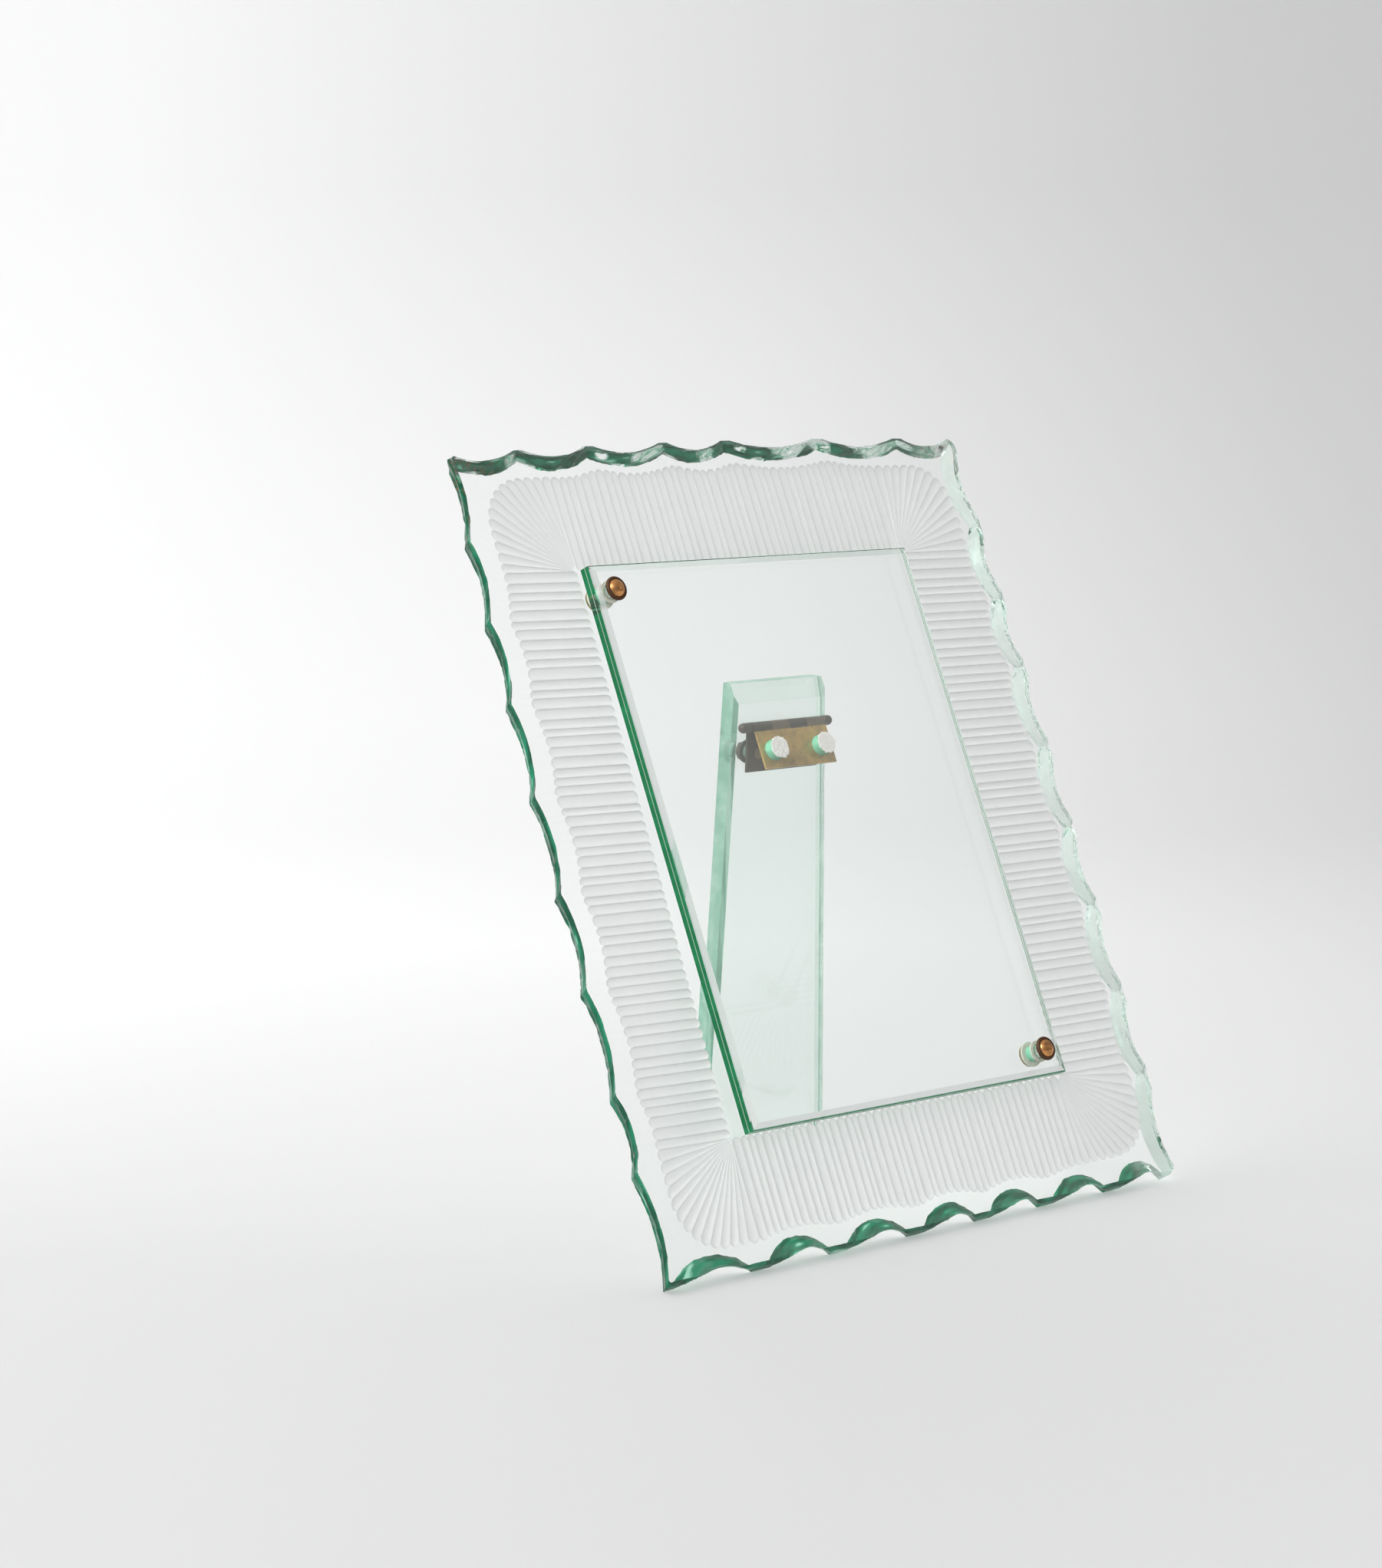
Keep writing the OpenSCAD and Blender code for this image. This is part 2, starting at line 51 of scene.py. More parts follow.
# Half the panel's size, its back, front and bevel width, and the buttons and studs that hold it
PANEL_X, PANEL_Y = 92.5, 120.0
PANEL_BACK, PANEL_FRONT, PANEL_BEVEL = 0.6, 6.6, 3.0
BUTTON_X, BUTTON_Y, BUTTON_SEAT = 82.5, 109.0, 6.65
STUD_BORE = 3.5
# The plate's holes for the hinge screws, which plaster fills
PLUG_X, PLUG_Y, PLUG_BORE = 13.7, 36.5, 4.5

ON_PLATE = Matrix.Translation((-MID_X, -MID_Y, STAND_Z)) @ Matrix.Rotation(math.pi / 2 - LEAN, 4, "X")
ON_STRUT = ON_PLATE @ Matrix.Translation((0, HINGE_V, PIN_N)) @ Matrix.Rotation(OPEN_ANGLE, 4, "X")
UP_PLATE = ON_PLATE.to_3x3() @ Vector((0, 1, 0))

# The camera; and, level with the table, the way it looks and its right-hand side
CAMERA_SPOT = (-1.16169, -1.17018, 0.37513)
CAMERA_AIM = Vector((0.6766, 0.7269, -0.1179)).normalized()
CAMERA_LENS, CAMERA_SENSOR = 91.18, 36.0
AHEAD = Vector((0.6766, 0.7269, 0)).normalized()
RIGHT = Vector((0.7320, -0.6814, 0)).normalized()
# Lights: name, place, what they point at, size in metres, power in watts
LIGHTS = [
    ("key", (-1.9, -0.6, 1.9), (0, 0, 0.15), 1.2, 36),
    ("backdrop", (-1.2, 1.2, 1.9), (0.5, 2.6, 0.5), 1.4, 36),
    ("reflected", (1.9, -1.62, 1.45), (0, 0, 0.17), 1.7, 4.4),
]
# The room's brightness, and the side that it is brightest on
WORLD_POWER = 0.75
BRIGHT_SIDE = Vector((-0.62, 0.62, 0.48)).normalized()
# The floor's reach, how far behind the object it starts to rise, and the radius of its sweep
FLOOR_REACH, SWEEP_START, SWEEP_RADIUS = 5.0, 1.2, 1.5


def place(x, y, z):
    """Millimetres in the plate's plane: across, up the slope, out of the front."""
    return ON_PLATE @ Matrix.Translation((x, y, z))


# Materials


class Field:
    """A value inside a material, so that shader maths reads as plain expressions."""

    def __init__(self, finish, socket):
        self.finish = finish
        self.socket = socket

    def maths(self, operation, a, b):
        return self.finish.node("ShaderNodeMath", {"operation": operation}, {0: a, 1: b})

    def or_more(self, other):
        return self.maths("MAXIMUM", self, other)

    def __add__(self, other):
        return self.maths("ADD", self, other)

    def __radd__(self, other):
        return self.maths("ADD", other, self)

    def __sub__(self, other):
        return self.maths("SUBTRACT", self, other)

    def __rsub__(self, other):
        return self.maths("SUBTRACT", other, self)

    def __mul__(self, other):
        return self.maths("MULTIPLY", self, other)


def colour(red, green, blue):
    return (red, green, blue, 1.0)


def grey(level):
    return colour(level, level, level)


def darker(tone, share):
    """The same colour with a share of its brightness."""
    return tuple(share * c for c in tone[:3]) + (1.0,)


WHITE = grey(1.0)
GLASS_IOR = 1.52
# The green that clear glass takes on over a long path, and how quickly, per metre
DEPTH_GREEN, DEPTH_DENSITY = colour(0.2, 0.75, 0.5), 4.0
# Colours of a glass piece: its ground edge, dark and pale, and its clear surfaces near the edge
PLATE_GREENS = (colour(0.001, 0.07, 0.032), colour(0.008, 0.24, 0.12), colour(0.06, 0.55, 0.32))
PANEL_GREENS = (colour(0.003, 0.15, 0.05), colour(0.006, 0.21, 0.075), colour(0.06, 0.6, 0.3))
STRUT_GREENS = (colour(0.2, 0.42, 0.31), colour(0.40, 0.6, 0.5), colour(0.6, 0.85, 0.74))
STRUT_CLEAR = colour(0.945, 0.98, 0.964)
# Colours on the plate: painted highlight lines in its edge, the walls of its holes, dirt, satin flutes with
# their streaks, and the painted shade on their crests and ends
EDGE_HIGHLIGHT, HOLE_GREEN, DIRT = colour(0.35, 0.68, 0.52), colour(0.22, 0.66, 0.44), colour(0.16, 0.11, 0.05)
SATIN_PALE, SATIN_STREAK_AND_SHADE = colour(0.985, 0.985, 0.98), colour(0.5, 0.53, 0.51)
# The white painted on a bevel and on a line in a glass edge, as reflected light
BEVEL_HIGHLIGHT = colour(0.98, 1.0, 0.99)
# Brass, bright and dark, and the colour of the hinge's barrel
BUTTON_BRASS = (colour(0.80, 0.38, 0.14), colour(0.10, 0.045, 0.018))
HINGE_BRASS = (colour(0.54, 0.33, 0.09), colour(0.26, 0.17, 0.05))
DARK_BRASS = (colour(0.11, 0.085, 0.05), colour(0.045, 0.036, 0.022))
SCREW_BRASS = (colour(0.42, 0.32, 0.15), colour(0.12, 0.09, 0.04))
BARREL_BRASS = colour(0.12, 0.09, 0.048)
PLASTER, FIBRE, DARK_WASHER = colour(0.98, 0.94, 0.90), colour(0.72, 0.69, 0.6), colour(0.05, 0.05, 0.045)


class Finish:
    """One material and the nodes in it."""

    def __init__(self, name):
        self.material = bpy.data.materials.new(name)
        self.material.use_nodes = True
        self.tree = self.material.node_tree
        self.tree.nodes.clear()

    def node(self, kind, settings, sockets, out=0):
        made = self.tree.nodes.new(kind)
        for key, value in settings.items():
            setattr(made, key, value)
        for key, value in sockets.items():
            if isinstance(value, Field):
                self.tree.links.new(value.socket, made.inputs[key])
            else:
                made.inputs[key].default_value = value
        return Field(self, made.outputs[out])

    def attribute(self, name):
        return self.node("ShaderNodeAttribute", {"attribute_name": name}, {}, "Fac")

    def here(self, where="Object"):
        return self.node("ShaderNodeTexCoord", {}, {}, where)

    def noise(self, scale, detail, roughness=0.55):
        return self.node(
            "ShaderNodeTexNoise", {},
            {"Vector": self.here(), "Scale": scale, "Detail": detail, "Roughness": roughness}, "Fac",
        )

    def toward(self, direction, where="Object"):
        """How far a place lies in a direction."""
        return self.node(
            "ShaderNodeVectorMath", {"operation": "DOT_PRODUCT"},
            {0: self.here(where), 1: tuple(direction)}, "Value",
        )

    def span(self, value, low, high, to_low=0.0, to_high=1.0):
        return self.node("ShaderNodeMapRange", {}, {0: value, 1: low, 2: high, 3: to_low, 4: to_high})

    def mix(self, share, a, b):
        return self.node("ShaderNodeMix", {"data_type": "RGBA"}, {0: share, 6: a, 7: b}, 2)

    def blend(self, share, a, b):
        return self.node("ShaderNodeMixShader", {}, {0: share, 1: a, 2: b})

    def bump(self, height, strength, distance):
        return self.node(
            "ShaderNodeBump", {}, {"Height": height, "Strength": strength, "Distance": distance}
        )

    def surface(self, **sockets):
        named = {}
        for key, value in sockets.items():
            named[key.replace("_", " ").title().replace("Ior", "IOR")] = value
        return self.node("ShaderNodeBsdfPrincipled", {}, named)

    def finished(self, surface, volume=None):
        end = self.tree.nodes.new("ShaderNodeOutputMaterial")
        self.tree.links.new(surface.socket, end.inputs["Surface"])
        if volume is not None:
            self.tree.links.new(volume.socket, end.inputs["Volume"])
        return self.material


def clear_glass(finish, tint=WHITE, roughness=0.0):
    return finish.surface(base_color=tint, roughness=roughness, ior=GLASS_IOR, transmission_weight=1.0)


def green_depth(finish):
    return finish.node("ShaderNodeVolumeAbsorption", {}, {"Color": DEPTH_GREEN, "Density": DEPTH_DENSITY})


def glass(name, greens, clear=WHITE, fluted=False):
    """Clear glass. Marks on the mesh say what isn't clear.

    On any piece, edge is ground glass. On the fluted plate, band and bore vary the green of its edge, and
    where band is high a highlight line is painted along the edge; dirt is brown, satin is the flutes, and
    the crest mark paints shade on the flutes' crests and ends. On the others, a mark paints a bevel and a
    line in the edge white, as painted reflection of the lamps.
    """
    deep, pale, tint = greens
    finish = Finish(name)
    edge = finish.attribute("edge")
    patch = finish.noise(110.0, 3.0)
    fine = finish.noise(700.0, 3.0)
    green = finish.mix(finish.span(patch, 0.42, 0.72), deep, pale)
    if fluted:
        band = finish.attribute("band")
        green = finish.mix(finish.span(patch * 0.4 + band * 0.6, 0.38, 0.72), deep, pale)
        # Where band is high, a highlight line is painted into the edge
        green = finish.mix(finish.span(band, 0.82, 0.95), green, EDGE_HIGHLIGHT)
        green = finish.mix(finish.attribute("bore"), green, HOLE_GREEN)
        grime = finish.attribute("dirt_and_end_shade") * finish.span(finish.noise(420.0, 4.0), 0.47, 0.56)
        green = finish.mix(grime, green, DIRT)
    body = clear_glass(finish, finish.mix(edge, clear, tint))
    ground = finish.surface(
        base_color=green, roughness=0.12 + fine * 0.12, specular_ior_level=0.18,
        normal=finish.bump(patch * 0.6 + fine * 0.4, 0.35, 0.0008),
    )
    whole = finish.blend(edge * finish.span(fine, 0.3, 0.7, 0.85, 1.0), body, ground)
    if not fluted:
        # The marked bevel and edge line are painted white, as reflected light
        bevel = finish.surface(base_color=BEVEL_HIGHLIGHT, roughness=0.3)
        whole = finish.blend(finish.attribute("white") * 0.8, whole, bevel)
    else:
        crest = finish.attribute("crest")
        satin = finish.attribute("satin")
        streak = finish.noise(260.0, 4.0, 0.6)
        # The satin is painted darker on the flutes' crests and ends, as shade, and in random streaks
        tone = finish.mix(crest * 0.62 + streak * 0.34 - 0.16, SATIN_PALE, SATIN_STREAK_AND_SHADE)
        frost = finish.surface(base_color=tone, roughness=0.75)
        misty = clear_glass(finish, roughness=0.4)
        whole = finish.blend(satin, whole, finish.blend(0.55 + crest * 0.25, misty, frost))
    return finish.finished(whole, green_depth(finish))


def aged_brass(name, tones, patina, marked=False, metal=1.0, barrel=None):
    """Old brass, clouded, and darker where marked as a groove. Up the plate from barrel on, it is dull."""
    bright, dark = tones
    finish = Finish(name)
    cloud = finish.noise(260.0, 5.0, 0.65)
    fine = finish.noise(1800.0, 3.0)
    dull = finish.span(cloud, 0.5 - patina * 0.3, 0.75)
    if marked:
        dull = dull.or_more(finish.attribute("groove"))
    tone = finish.mix(dull, bright, dark)
    specks = finish.span(finish.noise(1500.0, 5.0, 0.7), 0.56, 0.66)
    tone = finish.mix(specks * 0.55, tone, darker(dark, 0.4))
    if barrel is not None:
        worn = finish.span(finish.toward(UP_PLATE), barrel - 0.0004, barrel + 0.0004)
        tone = finish.mix(worn, tone, BARREL_BRASS)
    body = finish.surface(
        base_color=tone,
        metallic=metal - dull * 0.5 * metal,
        roughness=0.22 + dull * 0.32 + fine * 0.08,
        normal=finish.bump(fine * 0.4 + cloud, 0.22, 0.0002),
    )
    return finish.finished(body)


def plain(name, tone, roughness, scale, strength):
    """A grainy material: the grain has a scale and a strength."""
    finish = Finish(name)
    grain = finish.noise(scale, 4.0, 0.6)
    body = finish.surface(
        base_color=finish.mix(finish.span(grain, 0.35, 0.7), darker(tone, 0.8), tone),
        roughness=roughness,
        normal=finish.bump(grain, strength, 0.0004),
    )
    return finish.finished(body)


# Camera and light


def add(name, data):
    thing = bpy.data.objects.new(name, data)
    bpy.context.scene.collection.objects.link(thing)
    return thing


def make_camera():
    data = bpy.data.cameras.new("camera")
    data.lens = CAMERA_LENS
    data.sensor_width = CAMERA_SENSOR
    data.clip_start = 0.05
    data.clip_end = 30.0
    camera = add("camera", data)
    turned = Matrix((RIGHT, RIGHT.cross(CAMERA_AIM), -CAMERA_AIM)).transposed().to_4x4()
    camera.matrix_world = Matrix.Translation(CAMERA_SPOT) @ turned
    bpy.context.scene.camera = camera


def make_light(name, spot, target, size, power):
    data = bpy.data.lights.new(name, "AREA")
    data.shape = "SQUARE"
    data.size = size
    data.energy = power
    light = add(name, data)
    light.location = spot
    light.rotation_euler = (Vector(target) - Vector(spot)).to_track_quat("-Z", "Y").to_euler()


def make_world():
    """A soft room, bright behind and to the left, and dim in front to the right."""
    world = bpy.data.worlds.new("studio")
    world.use_nodes = True
    bpy.context.scene.world = world
    room = Finish("room")
    room.tree = world.node_tree
    left_back = room.toward(BRIGHT_SIDE, "Generated")
    tone = room.mix(room.span(left_back, -0.55, 0.75), colour(0.16, 0.165, 0.17), WHITE)
    ground = world.node_tree.nodes["Background"]
    world.node_tree.links.new(tone.socket, ground.inputs["Color"])
    ground.inputs["Strength"].default_value = WORLD_POWER
    bpy.data.materials.remove(room.material)


def make_floor():
    """A pale floor that sweeps up behind the object. Its colour is painted with light and shade: the sweep
    and the floor behind are lighter on the left and darker to the right, and the floor in front is darker on
    the left.
    """
    profile = [(-FLOOR_REACH, 0.0), (SWEEP_START, 0.0)]
    for a in np.radians(range(6, 91, 6)):
        profile.append((SWEEP_START + SWEEP_RADIUS * math.sin(a), SWEEP_RADIUS - SWEEP_RADIUS * math.cos(a)))
    profile.append((SWEEP_START + SWEEP_RADIUS, 5.0))
    points, faces = [], []
    for depth, height in profile:
        for across in (-FLOOR_REACH, FLOOR_REACH):
            points.append(AHEAD * depth + RIGHT * across + Vector((0, 0, height)))
    for i in range(len(profile) - 1):
        faces.append((2 * i, 2 * i + 1, 2 * i + 3, 2 * i + 2))
    mesh = bpy.data.meshes.new("floor")
    mesh.from_pydata(points, [], faces)
    mesh.polygons.foreach_set("use_smooth", [True] * len(faces))
    finish = Finish("floor")
    # Painted light and shade across the floor in front, the floor behind and up the sweep
    across = finish.span(finish.toward(RIGHT), 0.0, 0.55)
    ground = finish.mix(across, grey(0.68), grey(0.80))
    behind = finish.mix(across, grey(0.92), grey(0.74))
    left_to_right = finish.span(finish.toward(RIGHT), -0.6, 0.5)
    wall = finish.mix(left_to_right, grey(0.86), colour(0.68, 0.68, 0.685))
    tone = finish.mix(finish.span(finish.toward(AHEAD), -0.1, 0.7), ground, behind)
    tone = finish.mix(finish.span(finish.toward((0, 0, 1)), 0.05, 0.5), tone, wall)
    mesh.materials.append(finish.finished(finish.surface(base_color=tone, roughness=0.9)))
    add("floor", mesh)


make_camera()
make_world()
make_floor()
for light in LIGHTS:
    make_light(*light)
bpy.context.scene.view_settings.view_transform = "Standard"
# Light has to cross many glass surfaces
bpy.context.scene.cycles.max_bounces = 32
bpy.context.scene.cycles.transmission_bounces = 32
bpy.context.scene.cycles.glossy_bounces = 16


# Meshes


def make_piece(name, points, faces, material, matrix, crease=30.0):
    """A closed mesh in millimetres, placed by matrix. Edges sharper than crease, in degrees, stay sharp."""
    mesh = bpy.data.meshes.new(name)
    corners = [tuple(map(float, p)) for p in points]
    mesh.from_pydata(corners, [], [tuple(map(int, f)) for f in faces])
    work = bmesh.new()
    work.from_mesh(mesh)
    bmesh.ops.recalc_face_normals(work, faces=work.faces)
    work.to_mesh(mesh)
    work.free()
    mesh.transform(Matrix.Scale(0.001, 4) @ matrix)
    mesh.polygons.foreach_set("use_smooth", [True] * len(mesh.polygons))
    mesh.set_sharp_from_angle(angle=math.radians(crease))
    mesh.materials.append(material)
    return add(name, mesh)


def mark(piece, name, values, domain="FACE"):
    """Gives each face or point of a piece a value that its material reads."""
    layer = piece.data.attributes.new(name, "FLOAT", domain)
    layer.data.foreach_set("value", np.asarray(values, dtype=np.float32))


def stand_for(piece, node, body):
    """Puts a piece in the place of a CAD node, on its body."""
    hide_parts(node)
    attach(piece, body)


def middles_of(points, faces):
    return np.array([np.mean([points[i] for i in face], axis=0) for face in faces])


def within(spots, ring):
    """Which spots lie inside a closed outline."""
    x, y = spots[:, 0:1], spots[:, 1:2]
    x1, y1 = ring[:, 0], ring[:, 1]
    x2, y2 = np.roll(x1, 1), np.roll(y1, 1)
    rise = np.where(y2 == y1, 1e-12, y2 - y1)
    crossed = ((y1 > y) != (y2 > y)) & (x < (x2 - x1) * (y - y1) / rise + x1)
    return crossed.sum(axis=1) % 2 == 1


def fill(points, loops):
    """Triangles that fill the first loop of point numbers and leave the other loops empty."""
    ids, edges = [], []
    for loop in loops:
        base = len(ids)
        edges += [(base + i, base + (i + 1) % len(loop)) for i in range(len(loop))]
        ids += loop
    flat = [Vector((float(points[i][0]), float(points[i][1]))) for i in ids]
    made, _, triangles, origins, _, _ = delaunay_2d_cdt(flat, edges, [], 0, 1e-7)
    corners = np.array([tuple(p) for p in made])
    middles = corners[np.array(triangles)].mean(axis=1)
    inside = [within(middles, np.array([points[i][:2] for i in loop])) for loop in loops]
    keep = inside[0]
    for other in inside[1:]:
        keep &= ~other
    kept = [triangle for triangle, wanted in zip(triangles, keep) if wanted]
    return [tuple(ids[origins[i][0]] for i in triangle) for triangle in kept]


END, HOLE = -1, -2


def slab(rings, holes, level=None):
    """Points and faces of a slab: rings from its front to its back, flat ends and round holes through it.

    The rings level and level + 1 lie in one plane, and what is between them is triangulated. Also gives, for
    each face, the ring it starts from, or END for the flat ends and HOLE for the holes' walls.
    """
    count = len(rings[0])
    points = [p for ring in rings for p in ring]
    faces, kinds = [], []
    for r in range(len(rings) - 1):
        if r == level:
            made = fill(points, [list(range(k * count, (k + 1) * count)) for k in (r + 1, r)])
            faces += made
            kinds += [r] * len(made)
            continue
        for i in range(count):
            j = (i + 1) % count
            faces.append((r * count + i, r * count + j, (r + 1) * count + j, (r + 1) * count + i))
            kinds.append(r)
    turns = np.linspace(0, 2 * math.pi, 64, endpoint=False)
    rims = []
    for r in (0, len(rings) - 1):
        rim = []
        for x, y, radius in holes:
            rim.append(list(range(len(points), len(points) + len(turns))))
            height = rings[r][0][2]
            points += [(x + radius * math.cos(a), y + radius * math.sin(a), height) for a in turns]
        made = fill(points, [list(range(r * count, (r + 1) * count))] + rim)
        faces += made
        kinds += [END] * len(made)
        rims.append(rim)
    for front, back in zip(*rims):
        for i in range(len(front)):
            j = (i + 1) % len(front)
            faces.append((front[i], front[j], back[j], back[i]))
            kinds.append(HOLE)
    return points, faces, np.array(kinds)


def spin(name, profile, material, matrix, turns=96, lump=None):
    """A turned piece. Its profile holds radius, height and groove mark, and lump roughens its points."""
    angles = np.linspace(0, 2 * math.pi, turns, endpoint=False)
    points, marks, starts = [], [], []
    for radius, height, value in profile:
        starts.append(len(points))
        for a in angles[:1] if radius == 0 else angles:
            points.append((radius * math.cos(a), radius * math.sin(a), height))
            marks.append(value)
    faces = []
    for (r1, _, _), (r2, _, _), s1, s2 in zip(profile, profile[1:], starts, starts[1:]):
        for i in range(turns):
            j = (i + 1) % turns
            if r1 == 0:
                faces.append((s1, s2 + j, s2 + i))
            elif r2 == 0:
                faces.append((s1 + i, s1 + j, s2))
            else:
                faces.append((s1 + i, s1 + j, s2 + j, s2 + i))
    points = np.array(points)
    if lump is not None:
        points = lump(points, np.array(marks))
    piece = make_piece(name, points, faces, material, matrix)
    mark(piece, "groove", marks, "POINT")
    return piece


CELLS = 64


def lattice(seed):
    """Random numbers on a grid of CELLS by CELLS."""
    return np.random.RandomState(seed).uniform(-1, 1, (CELLS, CELLS))


def ripple(table, x, y):
    """Smooth noise between -1 and 1 at the places x, y, from a lattice."""
    i, j = np.floor(x).astype(int), np.floor(y).astype(int)
    a, b = x - i, y - j
    a, b = a * a * (3 - 2 * a), b * b * (3 - 2 * b)
    i, j, i2, j2 = i % CELLS, j % CELLS, (i + 1) % CELLS, (j + 1) % CELLS
    near = table[i, j] * (1 - a) + table[i2, j] * a
    far = table[i, j2] * (1 - a) + table[i2, j2] * a
    return near * (1 - b) + far * b


# The plate

# Its corners, and the shares of each side where ridges stand between the hollows, as seen from the front
CORNERS = [
    np.array((-151.45, -HALF_PLATE_H)), np.array((147.0, -HALF_PLATE_H)),
    np.array((150.95, HALF_PLATE_H)), np.array((-143.0, HALF_PLATE_H)),
]
BOTTOM_RIDGES = [0, 0.175, 0.32, 0.47, 0.605, 0.735, 0.875, 1]
RIGHT_RIDGES = [0, 0.135, 0.245, 0.36, 0.465, 0.575, 0.685, 0.78, 0.88, 1]
TOP_RIDGES = [0, 0.13, 0.26, 0.405, 0.525, 0.715, 0.885, 1]
LEFT_RIDGES = [0, 0.13, 0.22, 0.345, 0.46, 0.575, 0.69, 0.79, 0.89, 1]
RIDGES = [
    BOTTOM_RIDGES, RIGHT_RIDGES,
    [1 - f for f in reversed(TOP_RIDGES)], [1 - f for f in reversed(LEFT_RIDGES)],
]
# Depth of the hollows at the front face, and for the bottom, right, top and left sides: depth at the back
# face, depth of the ridges there, and how far the side's middle stands out
HOLLOW_FRONT = 3.5
HOLLOW_BACK = (9.5, 9.5, 8.0, 6.4)
RIDGE_BACK = (0.0, 2.5, 3.4, 2.5)
BELLY = (0.0, 2.5, 2.5, 2.5)
# The hollows run askew, and between those of the bottom are flat lands with their front edge taken off
SLANT = math.tan(math.radians(12))
FOOT_LAND, FOOT_CHAMFER = 6.0, 2.2
CORNER_ROUND = 3.4
# The larger and the smaller chips of the edge: how deep, and their size along the edge and across it
CHIP, CHIP_LENGTH, CHIP_WIDTH = 0.75, 4.5, 3.2
FLAKE, FLAKE_LENGTH, FLAKE_WIDTH = 0.3, 1.5, 1.4
# The arris along the hollows: how far it stands out, its height above the back face, and its reach
ARRIS, ARRIS_UP, ARRIS_REACH = 1.1, 5, 3
# The flutes, the clear margin outside them, and how far that margin widens behind each hollow
FLUTE_PITCH, FLUTE_DEPTH, FLUTE_MARGIN, FLUTE_WAVE = 4.1, 0.62, 10.0, 3.0
# The inner outline of the band of flutes, and the flutes that fan out at each of its corners
BAND = [np.array(p) for p in [(-99.5, -120.0), (92.0, -120.0), (95.0, 120.0), (-93.5, 120.0)]]
FAN, FAN_START, FAN_CORNER = 14, 2.2, 22.0
# Places across a flute where it has points, and along it, with the share of its depth and the painted shade,
# a dark line, at its ends
ACROSS = np.array([0, 0.06, 0.18, 0.34, 0.5, 0.66, 0.82, 0.94])
ALONG = [
    (0.0, 0.0, 0.4), (0.012, 0.6, 0.2), (0.035, 1.0, 0.0), (0.3, 1.0, 0.0), (0.6, 1.0, 0.0),
    (0.92, 1.0, 0.0), (0.955, 0.9, 0.0), (0.98, 0.6, 0.1), (1.0, 0.0, 0.5),
]
# Heights above the back face where the edge has points
LEVELS = np.linspace(PLATE_T, 0, 15)
COARSE, FINE = lattice(3), lattice(5)


class Side:
    """One side of the plate, run anticlockwise, with its ridges and hollows."""

    def __init__(self, index):
        self.index = index
        self.a, b = CORNERS[index], CORNERS[(index + 1) % 4]
        self.length = np.linalg.norm(b - self.a)
        self.along = (b - self.a) / self.length
        self.out = np.array((self.along[1], -self.along[0]))
        self.shares = np.array(RIDGES[index])
        self.belly = BELLY[index]
        self.setback = RIDGE_BACK[index]
        self.land = FOOT_LAND if index == 0 else 0.0
        self.slant = SLANT * (1 if index % 2 == 0 else -1)
        self.back = HOLLOW_BACK[index]
        self.tilt = math.atan((self.back - HOLLOW_FRONT) / PLATE_T)

    def bulge(self, share):
        """How far the side stands out of the straight line between its corners."""
        return self.belly * 4 * share * (1 - share)

    def depth(self, share, up):
        """How deep the edge is cut at shares of the side, at a height above the back face.

        Each hollow is ground by the rim of a round wheel, which is tilted and slanted.
        """
        cut = np.zeros(len(share))
        for first, last in zip(self.shares, self.shares[1:]):
            chord = (last - first) * self.length - self.land
            rise = (self.back - self.setback) * math.cos(self.tilt)
            wheel = (chord * chord / 4 + rise * rise) / (2 * rise)
            y = share * self.length - (first + last) / 2 * self.length - up * self.slant
            sag = (wheel - np.sqrt(np.maximum(0, wheel * wheel - y * y))) / math.cos(self.tilt)
            reached = np.abs(y) < min(wheel, chord / 2 + 6)
            cut = np.maximum(cut, np.where(reached, self.back - up * math.tan(self.tilt) - sag, 0))
        if self.index == 0:
            cut = np.maximum(cut, FOOT_CHAMFER * np.clip((up - 3) / 5, 0, 1))
        blunt = CORNER_ROUND + 0.1 * up
        near = np.clip(1 - np.minimum(share, 1 - share) * self.length / blunt, 0, 1)
        cut = np.maximum(cut, blunt * (1 - np.sqrt(1 - near * near)))
        run = share * self.length + 90 * self.index
        large = ripple(COARSE, run / CHIP_LENGTH + up * 0.25, up / CHIP_WIDTH + run * 0.04)
        small = ripple(FINE, run / FLAKE_LENGTH, up / FLAKE_WIDTH)
        flaked = CHIP * np.maximum(0, large)
        flaked += FLAKE * np.maximum(0, small)
        flaked *= np.clip(np.minimum(share, 1 - share) * self.length / 8 - 0.5, 0, 1)
        arris = ARRIS * np.minimum(1, cut / 3) * max(0, 1 - abs(up - ARRIS_UP) / ARRIS_REACH)
        return cut - arris + flaked * np.minimum(1, cut / 2.5) * (1 - 0.5 * up / PLATE_T)

    def inset(self, run, up):
        """How far the edge lies inside the side's straight line, at a distance along it."""
        share = np.atleast_1d(run) / self.length
        return self.depth(share, up) - self.bulge(share)

    def edge(self, share, up, before, after):
        """Points of the edge, from a distance before its first corner's end to one after its last."""
        run = before + (self.length - before - after) * share
        return self.a + np.outer(run, self.along) - np.outer(self.inset(run, up), self.out)

    def reach(self, p):
        """Distance from a point of the band's inner line to the wavy line where the flutes end."""
        share = float(np.dot(p - self.a, self.along)) / self.length
        i = int(np.clip(np.searchsorted(self.shares, share, "right") - 1, 0, len(self.shares) - 2))
        part = (share - self.shares[i]) / (self.shares[i + 1] - self.shares[i])
        wave = FLUTE_WAVE * math.sin(math.pi * part)
        return float(np.dot(self.a - p, self.out)) + self.bulge(share) - FLUTE_MARGIN - wave


SIDES = [Side(i) for i in range(4)]


